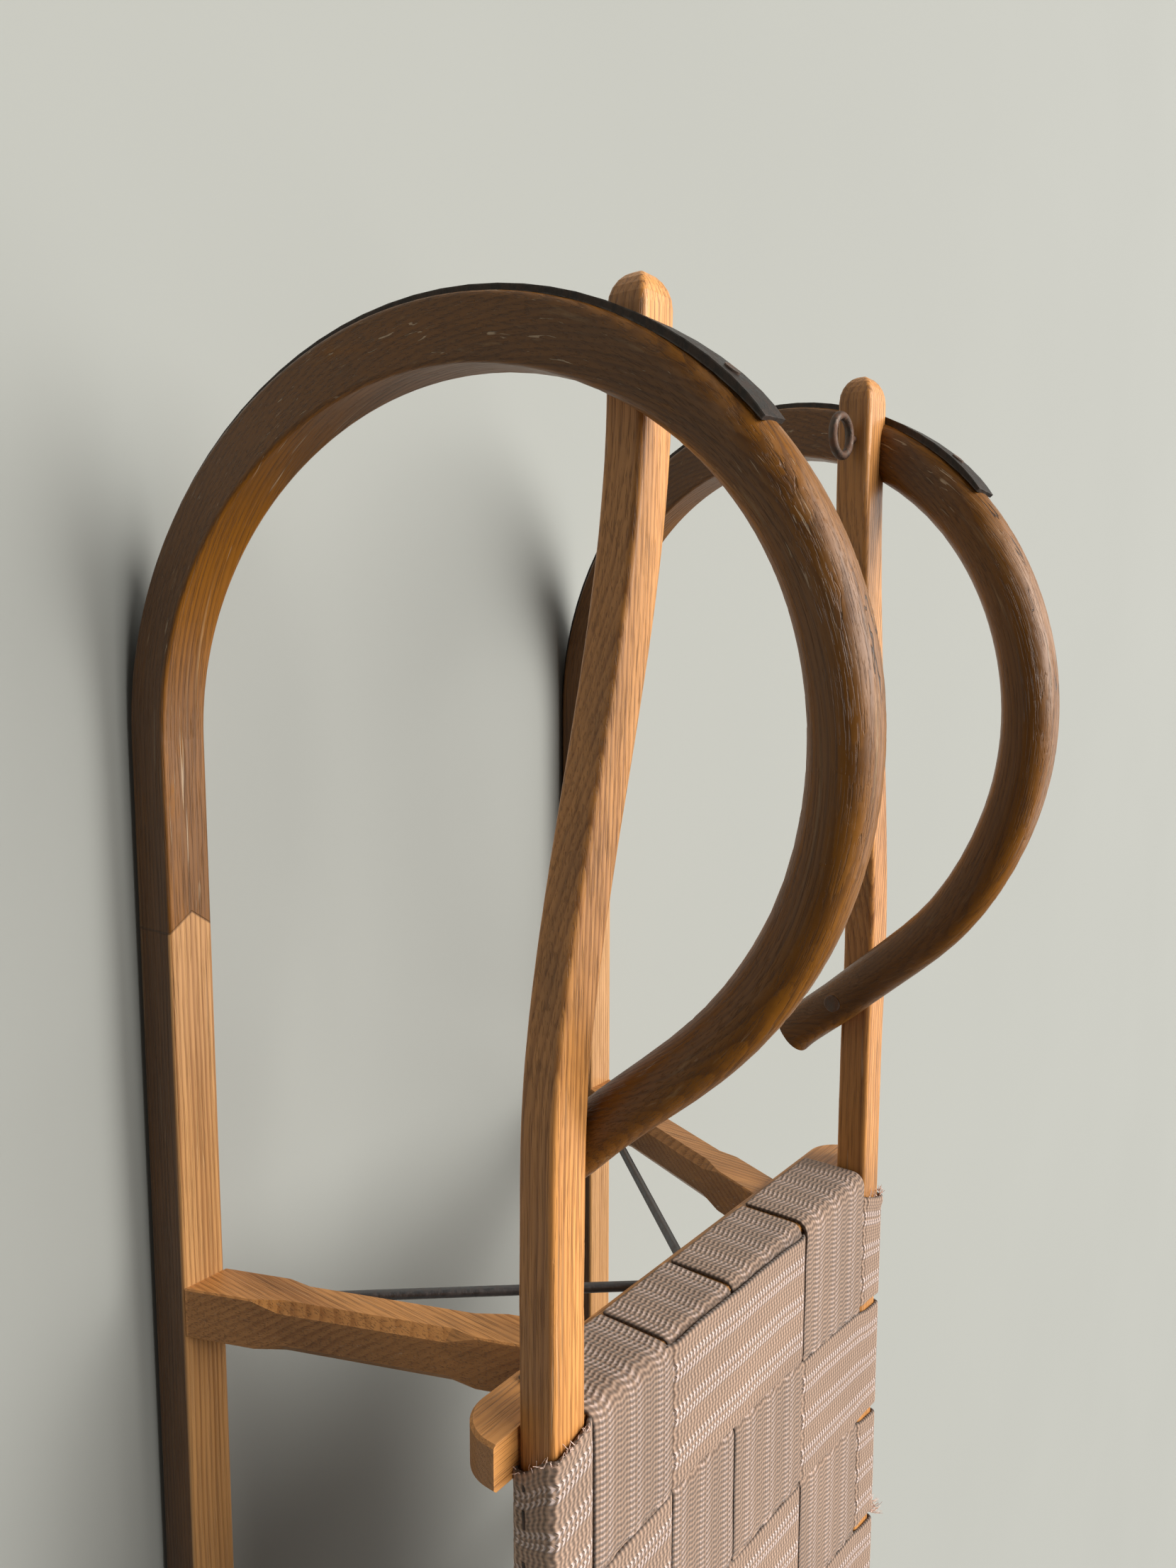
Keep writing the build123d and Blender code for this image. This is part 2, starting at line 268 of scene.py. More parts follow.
def grain_group():
    """Straight grain that runs along the vector's X."""
    if "straight grain" in bpy.data.node_groups:
        return bpy.data.node_groups["straight grain"]
    group, source, result = new_group(
        "straight grain",
        [
            ("Vector", VECTOR, None), ("Light", COLOUR, (0.5, 0.3, 0.1, 1)),
            ("Dark", COLOUR, (0.2, 0.1, 0.03, 1)), ("Pitch", NUMBER, 0.003), ("Tilt", NUMBER, 0.6),
        ],
        [("Color", COLOUR), ("Height", NUMBER), ("Tone", NUMBER)],
    )
    pos = source.outputs["Vector"]
    _, y, z = split(group, pos)
    drift = cloud(group, stretched(group, pos, 2.2, 14, 14), 1.0, 2.0)
    wander = cloud(group, stretched(group, pos, 9, 90, 90), 1.0, 3.0)
    across = plus(group, times(group, y, 0.85), times(group, z, source.outputs["Tilt"]))
    rings = calc(group, "DIVIDE", across, source.outputs["Pitch"])
    rings = plus(group, rings, times(group, drift, 3.2))
    rings = plus(group, rings, times(group, wander, 0.8))
    saw = calc(group, "FRACT", rings)
    late = times(group, spread(group, saw, 0.25, 0.9), spread(group, saw, 1.0, 0.9))
    pores = cloud(group, stretched(group, pos, 28, 1500, 1500), 1.0, 2.0, 0.6)
    pore = spread(group, pores, 0.52, 0.68)
    streak = cloud(group, stretched(group, pos, 5, 330, 330), 1.0, 3.0, 0.55)
    broad = cloud(group, stretched(group, pos, 3.2, 34, 34), 1.0, 2.0)
    tone = plus(group, times(group, late, 0.34), times(group, streak, 0.72))
    tone = plus(group, tone, times(group, minus(group, broad, 0.5), 1.1))
    tone = spread(group, tone, 0.20, 1.12)
    colour = blended(group, tone, source.outputs["Light"], source.outputs["Dark"])
    colour = blended(group, times(group, pore, 0.42), colour, (0.07, 0.028, 0.008))
    pale = spread(group, streak, 0.6, 0.78)
    colour = blended(group, times(group, pale, 0.30), colour, (0.74, 0.47, 0.22))
    height = minus(group, times(group, streak, 0.5), times(group, pore, 0.7))
    for label, value in (("Color", colour), ("Height", height), ("Tone", tone)):
        group.links.new(value, result.inputs[label])
    return group


def wear_group():
    """Worn edges, scuffs, scratches and dirt for varnished wood and steel."""
    if "handling wear" in bpy.data.node_groups:
        return bpy.data.node_groups["handling wear"]
    group, source, result = new_group(
        "handling wear",
        [("Vector", VECTOR, None), ("Edge width", NUMBER, 0.004)],
        [("Edge", NUMBER), ("Scuff", NUMBER), ("Scratch", NUMBER), ("Dirt", NUMBER)],
    )
    pos = source.outputs["Vector"]
    bevel = group.nodes.new("ShaderNodeBevel")
    bevel.samples = 4
    group.links.new(source.outputs["Edge width"], bevel.inputs["Radius"])
    surface = group.nodes.new("ShaderNodeNewGeometry")
    dot = group.nodes.new("ShaderNodeVectorMath")
    dot.operation = "DOT_PRODUCT"
    group.links.new(bevel.outputs[0], dot.inputs[0])
    group.links.new(surface.outputs["Normal"], dot.inputs[1])
    turned = minus(group, 1.0, dot.outputs["Value"])
    patchy = cloud(group, stretched(group, pos, 30, 160, 160), 1.0, 4.0, 0.65)
    edge = times(group, spread(group, turned, 0.03, 0.22), spread(group, patchy, 0.36, 0.62))
    scuff_a = cloud(group, stretched(group, pos, 11, 75, 75), 1.0, 5.0, 0.7, 0.6)
    scuff_b = cloud(group, stretched(group, pos, 2.5, 9, 9), 1.0, 1.0)
    scuff = times(group, spread(group, scuff_a, 0.56, 0.70), spread(group, scuff_b, 0.42, 0.66))
    scratch = cloud(group, stretched(group, pos, 16, 620, 620), 1.0, 2.0, 0.5, 0.8)
    scratch = times(group, spread(group, scratch, 0.66, 0.73), spread(group, scuff_b, 0.35, 0.6))
    dirt = cloud(group, stretched(group, pos, 8, 26, 26), 1.0, 4.0, 0.6)
    for label, value in (
        ("Edge", edge), ("Scuff", scuff), ("Scratch", scratch), ("Dirt", spread(group, dirt, 0.42, 0.72))
    ):
        group.links.new(value, result.inputs[label])
    return group


def weave_group():
    """Ribbed herringbone webbing: X of the vector runs along the band and Y across it."""
    if "ribbed twill" in bpy.data.node_groups:
        return bpy.data.node_groups["ribbed twill"]
    group, source, result = new_group(
        "ribbed twill",
        [
            ("Vector", VECTOR, None), ("Rim", NUMBER, 0.01), ("Tuck", NUMBER, 0.0),
            ("Ground", COLOUR, (0.3, 0.2, 0.13, 1)), ("Rib", COLOUR, (0.6, 0.47, 0.4, 1)),
            ("Rib pitch", NUMBER, 0.0225), ("Yarn pitch", NUMBER, 0.003), ("Rib strength", NUMBER, 1.0),
        ],
        [("Color", COLOUR), ("Height", NUMBER), ("Yarn", NUMBER)],
    )
    pos = source.outputs["Vector"]
    wobble = minus(group, cloud(group, stretched(group, pos, 45, 45, 45), 1.0, 1.0), 0.5)
    u, v, _ = split(group, pos)
    u = plus(group, u, times(group, wobble, 0.0016))
    v = plus(group, v, times(group, wobble, 0.0012))
    half = times(group, source.outputs["Rib pitch"], 0.5)
    away = calc(group, "ABSOLUTE", calc(group, "WRAP", v, half, times(group, half, -1.0)))
    along = calc(group, "DIVIDE", u, source.outputs["Yarn pitch"])
    # A rib is two lines of slanted stitches, either side of its middle.
    line = calc(group, "ABSOLUTE", minus(group, away, 0.0028))
    rib = spread(group, line, 0.0023, 0.0014)
    stitch = plus(group, along, calc(group, "DIVIDE", line, 0.0040))
    stitch = wave(group, stitch)
    # Between the ribs the stitches are short bars that lean one way and then the other.
    twill = plus(group, along, calc(group, "DIVIDE", calc(group, "PINGPONG", away, 0.0078), 0.0095))
    twill = wave(group, twill)
    column = calc(group, "SINE", calc(group, "DIVIDE", v, 0.0023 / (2 * math.pi)))
    column = plus(group, times(group, column, 0.5), 0.5)
    bright = times(group, rib, spread(group, stitch, 0.15, 0.7))
    bright = times(group, bright, source.outputs["Rib strength"])
    fibre = cloud(group, stretched(group, pos, 900, 2600, 1), 1.0, 2.0)
    stain = cloud(group, stretched(group, pos, 7, 18, 1), 1.0, 3.0)
    body = plus(group, times(group, twill, 0.74), times(group, column, 0.26))
    weave_tone_and_painted_shade = plus(group, 0.34, times(group, body, 0.72))
    weave_tone_and_painted_shade = times(group, weave_tone_and_painted_shade, plus(group, 0.72, times(group, fibre, 0.5)))
    weave_tone_and_painted_shade = times(group, weave_tone_and_painted_shade, plus(group, 0.78, times(group, stain, 0.44)))
    # Painted shade: the last millimetre at each band's edge is darkened, standing for the shadow in the gaps
    # between bands.
    dark = spread(group, source.outputs["Rim"], 0.0001, 0.0011, 0.30, 1.0)
    weave_tone_and_painted_shade = times(group, weave_tone_and_painted_shade, dark)
    # Painted shade: a band is darkened where it is tucked under another band.
    weave_tone_and_painted_shade = times(group, weave_tone_and_painted_shade, spread(group, source.outputs["Tuck"], 0.35, 1.0, 1.0, 0.55))
    flat = blended(group, bright, source.outputs["Ground"], source.outputs["Rib"])
    grey = group.nodes.new("ShaderNodeCombineColor")
    for socket in grey.inputs:
        group.links.new(weave_tone_and_painted_shade, socket)
    colour = blended(group, 1.0, flat, grey.outputs[0], "MULTIPLY")
    height = plus(group, body, times(group, bright, 0.6))
    for label, value in (("Color", colour), ("Height", height), ("Yarn", body)):
        group.links.new(value, result.inputs[label])
    return group


def use(tree, group, **values):
    """A group placed in a material with its own values; underscores stand for spaces."""
    node = tree.nodes.new("ShaderNodeGroup")
    node.node_tree = group
    for label, value in values.items():
        if isinstance(value, (tuple, list)) and len(value) == 3:
            value = (*value, 1.0)
        plug(tree, value, node.inputs[label.replace("_", " ")])
    return node.outputs


def new_material(name):
    material = bpy.data.materials.new(name)
    material.use_nodes = True
    return material, material.node_tree, material.node_tree.nodes["Principled BSDF"]


def bump(tree, height, shader, distance, strength=1.0):
    node = tree.nodes.new("ShaderNodeBump")
    node.inputs["Distance"].default_value = distance
    node.inputs["Strength"].default_value = strength
    tree.links.new(height, node.inputs["Height"])
    tree.links.new(node.outputs[0], shader.inputs["Normal"])


# ---------------------------------------------------------------- finishes


def scaled(colour, *factors):
    """A colour multiplied by one factor, or by one for each channel."""
    return tuple(c * k for c, k in zip(colour, factors * 3 if len(factors) == 1 else factors))


def paler(colour, factor, extra=0.0):
    return tuple(min(1.0, c * factor + extra) for c in colour)


def grain_vector(tree, place, along, curl=None, shift=(0.0, 0.0, 0.0)):
    """Object coordinates with X turned along the grain; a runner's grain follows its curl."""
    x, y, z = split(tree, place)
    if curl:
        cx, cz, radius = curl
        dx = minus(tree, x, cx)
        dz = minus(tree, z, cz)
        # The angle is counted from straight down, and jumps where there is no wood.
        side, fore = math.sin(CURL_START), math.cos(CURL_START)
        p = minus(tree, times(tree, dx, fore), times(tree, dz, -side))
        q = plus(tree, times(tree, dx, side), times(tree, dz, -fore))
        angle = plus(tree, calc(tree, "ARCTAN2", p, q), CURL_START)
        reach = calc(tree, "SQRT", plus(tree, calc(tree, "POWER", dx, 2.0), calc(tree, "POWER", dz, 2.0)))
        # Behind the curl and below its centre the runner is straight.
        straight = times(tree, calc(tree, "LESS_THAN", dx, 0.0), calc(tree, "LESS_THAN", dz, 0.0))
        bent = minus(tree, 1.0, straight)
        x = plus(tree, times(tree, dx, straight), times(tree, times(tree, angle, radius), bent))
        z = plus(tree, times(tree, times(tree, dz, -1.0), straight), times(tree, reach, bent))
    if along == "Y":
        x, y = y, x
    if along == "Z":
        x, z = z, x
    return vector(tree, *(plus(tree, value, move) for value, move in zip((x, y, z), shift)))


def wood(name, along, shift, light, dark, pitch, tilt, curl=None):
    """Old honey varnish over straight-grained wood."""
    material, tree, shader = new_material(name)
    place = tree.nodes.new("ShaderNodeTexCoord").outputs["Object"]
    grain_place = grain_vector(tree, place, along, curl, shift)
    grain = use(tree, grain_group(), Vector=grain_place, Light=light, Dark=dark, Pitch=pitch, Tilt=tilt)
    wear = use(tree, wear_group(), Vector=grain_place, Edge_width=0.0035)
    # Painted shade: the faces turned to the sides are painted darker, towards the dark wood colour.
    facing = split(tree, tree.nodes.new("ShaderNodeNewGeometry").outputs["Normal"])[1]
    painted_side_shade = spread(tree, calc(tree, "ABSOLUTE", facing), 0.45, 0.92)
    colour = blended(tree, times(tree, painted_side_shade, 0.5), grain["Color"], scaled(dark, 0.45))
    colour = blended(tree, times(tree, wear["Dirt"], 0.4), colour, (0.075, 0.034, 0.012))
    colour = blended(tree, times(tree, wear["Edge"], 0.5), colour, paler(light, 1.3, 0.04))
    colour = blended(tree, times(tree, wear["Scuff"], 0.30), colour, paler(light, 1.25, 0.03))
    colour = blended(tree, times(tree, wear["Scratch"], 0.35), colour, (0.80, 0.62, 0.42))
    crack = 0.0
    if curl:
        x, y, z = split(tree, place)
        # The straight timber is scarfed on behind the bend, and its top face is rubbed paler.
        edge = calc(tree, "ABSOLUTE", minus(tree, calc(tree, "ABSOLUTE", y), RUNNER_SIDE))
        tongue = plus(tree, x, times(tree, edge, 0.75))
        low = spread(tree, z, 0.08, 0.06)
        behind = spread(tree, tongue, SCARF_X + 0.0008, SCARF_X - 0.0012)
        behind = times(tree, behind, spread(tree, z, 0.0285, 0.0302))
        behind = times(tree, behind, low)
        tan = blended(tree, grain["Tone"], *RUBBED)
        colour = blended(tree, times(tree, behind, 0.8), colour, tan)
        joint = spread(tree, calc(tree, "ABSOLUTE", minus(tree, tongue, SCARF_X)), 0.0008, 0.0002)
        joint = times(tree, times(tree, joint, low), 0.45)
        # Checks and bruises where the top of the curl has been knocked.
        around, _, depth = split(tree, grain_place)
        around = minus(tree, around, shift[0])
        knocked = times(tree, spread(tree, around, 0.34, 0.44), spread(tree, around, 0.68, 0.58))
        outer = curl[2] + shift[2]
        knocked = times(tree, knocked, spread(tree, depth, outer - 0.006, outer + 0.004))
        check = cloud(tree, stretched(tree, grain_place, 17, 85, 85), 1.0, 3.0, 0.6)
        check = spread(tree, calc(tree, "ABSOLUTE", minus(tree, check, 0.5)), 0.014, 0.004)
        where = cloud(tree, stretched(tree, grain_place, 16, 60, 60), 1.0, 1.0)
        check = times(tree, check, spread(tree, where, 0.48, 0.56))
        crack = calc(tree, "MAXIMUM", times(tree, check, knocked), joint)
        bruise = cloud(tree, stretched(tree, grain_place, 20, 60, 60), 1.0, 4.0, 0.7)
        bruise = times(tree, spread(tree, bruise, 0.45, 0.7), knocked)
        colour = blended(tree, times(tree, bruise, 0.45), colour, (0.40, 0.215, 0.105))
        colour = blended(tree, times(tree, crack, 0.85), colour, (0.028, 0.014, 0.006))
    tree.links.new(colour, shader.inputs["Base Color"])
    rough = plus(tree, 0.36, times(tree, grain["Tone"], 0.12))
    rough = plus(tree, rough, times(tree, wear["Scuff"], 0.28))
    rough = plus(tree, rough, times(tree, wear["Edge"], 0.15))
    tree.links.new(rough, shader.inputs["Roughness"])
    coat = minus(tree, 0.14, times(tree, wear["Scuff"], 0.12))
    tree.links.new(coat, shader.inputs["Coat Weight"])
    shader.inputs["Coat Roughness"].default_value = 0.3
    shader.inputs["Specular IOR Level"].default_value = 0.32
    height = minus(tree, grain["Height"], times(tree, wear["Scratch"], 1.2))
    if curl:
        height = minus(tree, height, times(tree, crack, 2.5))
    bump(tree, height, shader, 0.00035, 0.8)
    return material


def steel(name, colour, rust, metal, rough, amount):
    """Bare or blackened steel with rust in patches."""
    material, tree, shader = new_material(name)
    place = tree.nodes.new("ShaderNodeTexCoord").outputs["Object"]
    wear = use(tree, wear_group(), Vector=place, Edge_width=0.0015)
    blotch = cloud(tree, stretched(tree, place, 120, 300, 300), 1.0, 5.0, 0.65)
    fine = cloud(tree, stretched(tree, place, 900, 900, 900), 1.0, 3.0, 0.6)
    rusty = times(tree, spread(tree, blotch, 0.40, 0.62), amount)
    tint = blended(tree, rusty, colour, rust)
    tint = blended(tree, times(tree, wear["Edge"], 0.5), tint, paler(colour, 4, 0.08))
    tree.links.new(tint, shader.inputs["Base Color"])
    tree.links.new(minus(tree, metal, times(tree, rusty, 0.7)), shader.inputs["Metallic"])
    gloss = plus(tree, rough, times(tree, rusty, 0.3))
    gloss = plus(tree, gloss, times(tree, minus(tree, fine, 0.5), 0.15))
    tree.links.new(gloss, shader.inputs["Roughness"])
    bump(tree, plus(tree, fine, blotch), shader, 0.00025, 0.7)
    return material


def webbing(name, settings, rib_strength, ground_scale):
    """Old jute webbing with light ribs."""
    material, tree, shader = new_material(name)
    uv = tree.nodes.new("ShaderNodeTexCoord").outputs["UV"]
    rim, tuck = tree.nodes.new("ShaderNodeAttribute"), tree.nodes.new("ShaderNodeAttribute")
    rim.attribute_name, tuck.attribute_name = "rim", "tuck"
    ground = scaled(settings.ground, ground_scale)
    weave = use(
        tree, weave_group(), Vector=uv, Rim=rim.outputs["Fac"], Tuck=tuck.outputs["Fac"], Ground=ground,
        Rib=tuple(settings.rib), Rib_pitch=settings.rib_pitch, Yarn_pitch=settings.yarn_pitch,
        Rib_strength=rib_strength,
    )
    tree.links.new(weave["Color"], shader.inputs["Base Color"])
    tree.links.new(minus(tree, 0.95, times(tree, weave["Yarn"], 0.15)), shader.inputs["Roughness"])
    shader.inputs["Sheen Weight"].default_value = 0.15
    shader.inputs["Sheen Roughness"].default_value = 0.6
    bump(tree, weave["Height"], shader, 0.0008, 0.9)
    return material


def dress(names, material):
    """Gives CAD nodes a finish."""
    for name in names:
        for slot in NODES[name].material_slots:
            slot.material = material


# ---------------------------------------------------------------- webbing shapes


def rounded_path(corners, radius):
    """Points along a line that turns each corner on an arc, and how far along each one is."""
    points = [Vector(corners[0])]
    for before, corner, after in zip(corners, corners[1:], corners[2:]):
        before, corner, after = Vector(before), Vector(corner), Vector(after)
        into, out = (corner - before).normalized(), (after - corner).normalized()
        turn = math.acos(max(-1.0, min(1.0, into.dot(out))))
        cut = radius * math.tan(turn / 2)
        start, end = corner - into * cut, corner + out * cut
        for k in range(9):
            f = k / 8
            points.append(start * (1 - f) ** 2 + corner * 2 * f * (1 - f) + end * f * f)
    points.append(Vector(corners[-1]))
    reached = [0.0]
    for a, b in zip(points, points[1:]):
        reached.append(reached[-1] + (b - a).length)
    return points, reached


def at(path, distance):
    """The point at a distance along a path, and the way it heads there."""
    points, reached = path
    k = min(max(bisect.bisect_right(reached, distance) - 1, 0), len(points) - 2)
    span = max(reached[k + 1] - reached[k], 1e-9)
    a, b = points[k], points[k + 1]
    return a.lerp(b, (distance - reached[k]) / span), (b - a).normalized()


def ease(value):
    value = min(1.0, max(0.0, value))
    return value * value * (3 - 2 * value)


def edge_drop(t, width):
    """How far the last 2 mm of a band's width bend down."""
    return 0.0005 * ease((abs(t) - (width / 2 - 0.002)) / 0.002)


def pulled_back(y, below_top):
    """How far the front row's cut edge is pulled back: over a rail, and down the left rail's side."""
    return 0.003 * ease((abs(y) - 0.143) / 0.02) + 0.011 * ease(below_top / 0.018) * (y > 0)


def row_shift(y, settings):
    """How far a row's edge lies forward of its CAD place at that side position."""
    side = y / RAIL_SIDE
    return settings.lean * side - settings.bow * side * side


def lanes():
    """Rows as (lowest x, highest x) and strips as (lowest y, highest y), from the CAD."""
    rows = [(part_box(n)[0][0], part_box(n)[1][0]) for n in ROWS]
    strips = [(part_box(n)[0][1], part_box(n)[1][1]) for n in STRIPS]
    return rows, strips


def over(row, strip):
    return ROW_OVER[row % 2][strip]


def band(name, path, width, place, settings, pieces_along, material, node):
    """A woven band; place(point, heading, t, s) gives its middle surface and how far it is tucked under."""
    bm = bmesh.new()
    bmesh.ops.create_grid(bm, x_segments=pieces_along, y_segments=14, size=0.5)
    uv = bm.loops.layers.uv.new("UVMap")
    rim, tuck = bm.verts.layers.float.new("rim"), bm.verts.layers.float.new("tuck")
    length = path[1][-1]
    flat = {}
    for vert in bm.verts:
        q = 2 * vert.co.y
        flat[vert] = ((vert.co.x + 0.5) * length, (1.5 * q - 0.5 * q ** 3) * width / 2)
    for face in bm.faces:
        for loop in face.loops:
            loop[uv].uv = flat[loop.vert]
    for vert in bm.verts:
        s, t = flat[vert]
        point, heading = at(path, s)
        vert.co, depth = place(point, heading, t, s)
        vert[rim] = width / 2 - abs(t)
        vert[tuck] = depth
    bmesh.ops.recalc_face_normals(bm, faces=bm.faces)
    middle = min(bm.faces, key=lambda f: abs(flat_centre(f, flat) - length / 2))
    if middle.normal.z < 0:
        bmesh.ops.reverse_faces(bm, faces=bm.faces)
    mesh = bpy.data.meshes.new(name)
    bm.to_mesh(mesh)
    bm.free()
    for polygon in mesh.polygons:
        polygon.use_smooth = True
    obj = bpy.data.objects.new(name, mesh)
    bpy.context.scene.collection.objects.link(obj)
    wall = obj.modifiers.new("thickness", "SOLIDIFY")
    wall.thickness = settings.thickness
    wall.offset = 0.0
    soften = obj.modifiers.new("soft edge", "BEVEL")
    soften.width = 0.0007
    soften.segments = 2
    soften.limit_method = "ANGLE"
    soften.angle_limit = math.radians(50)
    mesh.materials.append(material)
    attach(obj, "root")
    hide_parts(node)
    return obj


def flat_centre(face, flat):
    return sum(flat[v][0] for v in face.verts) / len(face.verts)


def ripple(x, y, size, seed):
    """A small, smooth unevenness."""
    return size * noise.noise(Vector((x * 38 + seed * 7.3, y * 38, seed * 1.7)))


# ---------------------------------------------------------------- operators


class TOBOGGAN_OT_strips(bpy.types.Operator):
    """Lays the four lengthwise bands and folds them down the end beams."""

    bl_idname = "toboggan.strips"
    bl_label = "Lay lengthwise bands"

    def execute(self, context):
        settings = context.scene.toboggan_webbing
        rows, _ = lanes()
        finish = webbing("jute webbing lengthwise", settings, 0.38, 0.80)
        low_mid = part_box(STRIPS[0])[1][2] - HALF_BAND
        middle = low_mid + settings.rise + 0.0001
        for index, node in enumerate(STRIPS):
            low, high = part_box(node)
            y_mid, width = (low[1] + high[1]) / 2, high[1] - low[1]
            inset = settings.thickness / 2
            front, rear = high[0] - inset, low[0] + inset
            path = rounded_path(
                [(front, low[2] + 0.0025), (front, middle), (rear, middle), (rear, low[2] + 0.0025)], 0.0075
            )

            fan, length = (0.0022, 0.0012, -0.0010, -0.0034)[index], path[1][-1]

            def place(point, heading, t, s, index=index, y_mid=y_mid, width=width, fan=fan, length=length):
                x, z = point
                y = y_mid - t + ripple(x, y_mid + 3, 0.0006, index)
                lift = abs(heading.x)
                # The outer bands spread towards the rails where they fold over the beams.
                y += fan * (1 - lift * ease((0.5 * length - abs(s - 0.5 * length)) / 0.07))
                state = self.height(x, y, index, rows, settings)
                drop = edge_drop(t, width)
                rise = settings.rise * state + ripple(x, y, 0.0002, index) - drop
                z += rise * lift
                x += (1 if heading.y > 0 else -1) * (1 - lift) * (ripple(y, z, 0.0005, index + 9) - drop)
                return Vector((x, y, z)), max(0.0, -state) * lift
            band(f"webbing_band_{index + 1}", path, width - 0.0008, place, settings, 520, finish, node)
        return {"FINISHED"}

    @staticmethod
    def height(x, y, strip, rows, settings):
        """1 where the band lies over a row, -1 where it lies under one."""
        x = x - row_shift(y, settings)
        state, start_before = None, None
        for row, (start, end) in enumerate(rows):
            value = -1.0 if over(row, strip) else 1.0
            if x > end:
                if state is None:
                    return value
                gap = start_before - end
                f = ease((start_before - x) / max(gap, settings.turn))
                return state * (1 - f) + value * f
            if x >= start:
                reach = settings.turn / 2
                if state is not None and end - x < reach:
                    f = ease(0.5 + (end - x) / settings.turn)
                    return state * (1 - f) + value * f
                if row + 1 < len(rows) and x - start < reach and start - rows[row + 1][1] < 0.005:
                    after = -1.0 if over(row + 1, strip) else 1.0
                    f = ease(0.5 - (x - start) / settings.turn)
                    return value * (1 - f) + after * f
                return value
            state, start_before = value, start
        return state


class TOBOGGAN_OT_rows(bpy.types.Operator):
    """Weaves the eight crosswise rows and wraps them round the rails."""

    bl_idname = "toboggan.rows"
    bl_label = "Weave crosswise rows"

    def execute(self, context):
        settings = context.scene.toboggan_webbing
        _, strips = lanes()
        finish = webbing("jute webbing crosswise", settings, 1.0, 1.0)
        for index, node in enumerate(ROWS):
            low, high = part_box(node)
            inset = settings.thickness / 2
            side, top, bottom = high[1] - inset, high[2] - inset, low[2] + inset
            lip = side - 0.018
            path = rounded_path(
                [(lip, bottom), (side, bottom), (side, top), (-side, top), (-side, bottom), (-lip, bottom)],
                0.003,
            )
            x_mid, width = (low[0] + high[0]) / 2, high[0] - low[0]

            def place(point, heading, t, s, index=index, x_mid=x_mid, width=width, top=top):
                y, z = point
                flat = abs(heading.x)
                on_top = flat if z > top - 0.006 else 0.0
                # The rows are drawn together on the right rail, which leaves slits between them.
                pinch = 1 - 0.06 * ease((-0.130 - y) / 0.022)
                x = x_mid + t * pinch + row_shift(y, settings) + ripple(y, x_mid, 0.0007, index + 20)
                half = width / 2
                fold = 0.0
                if index == 0 and abs(y) > 0.142:
                    # The front row's cut edge is turned under and pulled back on the rails.
                    x -= pulled_back(y, top - z) * ease((t / half + 1) / 2)
                    fold = 0.0011 * ease((t - half + 0.009) / 0.003) * ease((abs(y) - 0.142) / 0.004)
                state = self.height(y, index, strips, settings)
                drop = edge_drop(t, width) - fold
                fall = settings.rise * (1 - state) + drop - ripple(y, x, 0.0002, index + 30)
                z -= fall * on_top
                if not on_top:
                    y += math.copysign(1, y) * (ripple(x, z, 0.0006, index + 40) - drop) * (1 - flat)
                return Vector((x, y, z)), max(0.0, -state) * on_top
            band(f"webbing_row_{index + 1}", path, width - 0.0006, place, settings, 360, finish, node)
        return {"FINISHED"}

    @staticmethod
    def height(y, row, strips, settings):
        """1 where the row lies over a band or a rail, -1 where it lies under a band."""
        reach = settings.turn
        edges = [(strips[0][1] + 0.0015, 1.0)]
        for strip in range(4):
            edge = strips[strip][0] if strip < 3 else strips[3][0] - 0.0015
            edges.append((edge, 1.0 if over(row, strip) else -1.0))
        state = 1.0
        for k, (edge, value) in enumerate(edges):
            after = edges[k + 1][1] if k + 1 < len(edges) else 1.0
            f = ease(0.5 - (y - edge) / reach)
            if abs(y - edge) <= reach / 2:
                return value * (1 - f) + after * f
            if y > edge:
                return value
            state = after
        return state


def scattered(rng, *ranges):
    """A vector with a random number from each range."""
    return Vector([rng.uniform(low, high) for low, high in ranges])


def loose_thread(bm, rng, start, heading, length, radius):
    """One frayed thread: a thin tube that wanders off in short steps."""
    ring = bmesh.ops.create_circle(bm, cap_ends=True, segments=5, radius=radius)["verts"]
    turn = Vector((0, 0, 1)).rotation_difference(heading)
    bmesh.ops.rotate(bm, verts=ring, matrix=turn.to_matrix())
    bmesh.ops.translate(bm, verts=ring, vec=start)
    face = next(iter(set.intersection(*(set(v.link_faces) for v in ring))))
    steps = 5
    for k in range(steps):
        made = bmesh.ops.extrude_face_region(bm, geom=[face], use_keep_orig=k == 0)["geom"]
        face = next(g for g in made if isinstance(g, bmesh.types.BMFace))
        ring = list(face.verts)
        heading = (heading + scattered(rng, *[(-0.35, 0.35)] * 3)).normalized()
        bmesh.ops.translate(bm, verts=ring, vec=heading * length / steps)
        middle = face.calc_center_median()
        bmesh.ops.scale(bm, verts=ring, vec=(0.86, 0.86, 0.86), space=Matrix.Translation(-middle))


def finish_piece(bm, name, material):
    """Turns a bmesh into a piece that rides with the sled."""
    bmesh.ops.recalc_face_normals(bm, faces=bm.faces)
    mesh = bpy.data.meshes.new(name)
    bm.to_mesh(mesh)
    bm.free()
    obj = bpy.data.objects.new(name, mesh)
    bpy.context.scene.collection.objects.link(obj)
    mesh.materials.append(material)
    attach(obj, "root")
    return obj


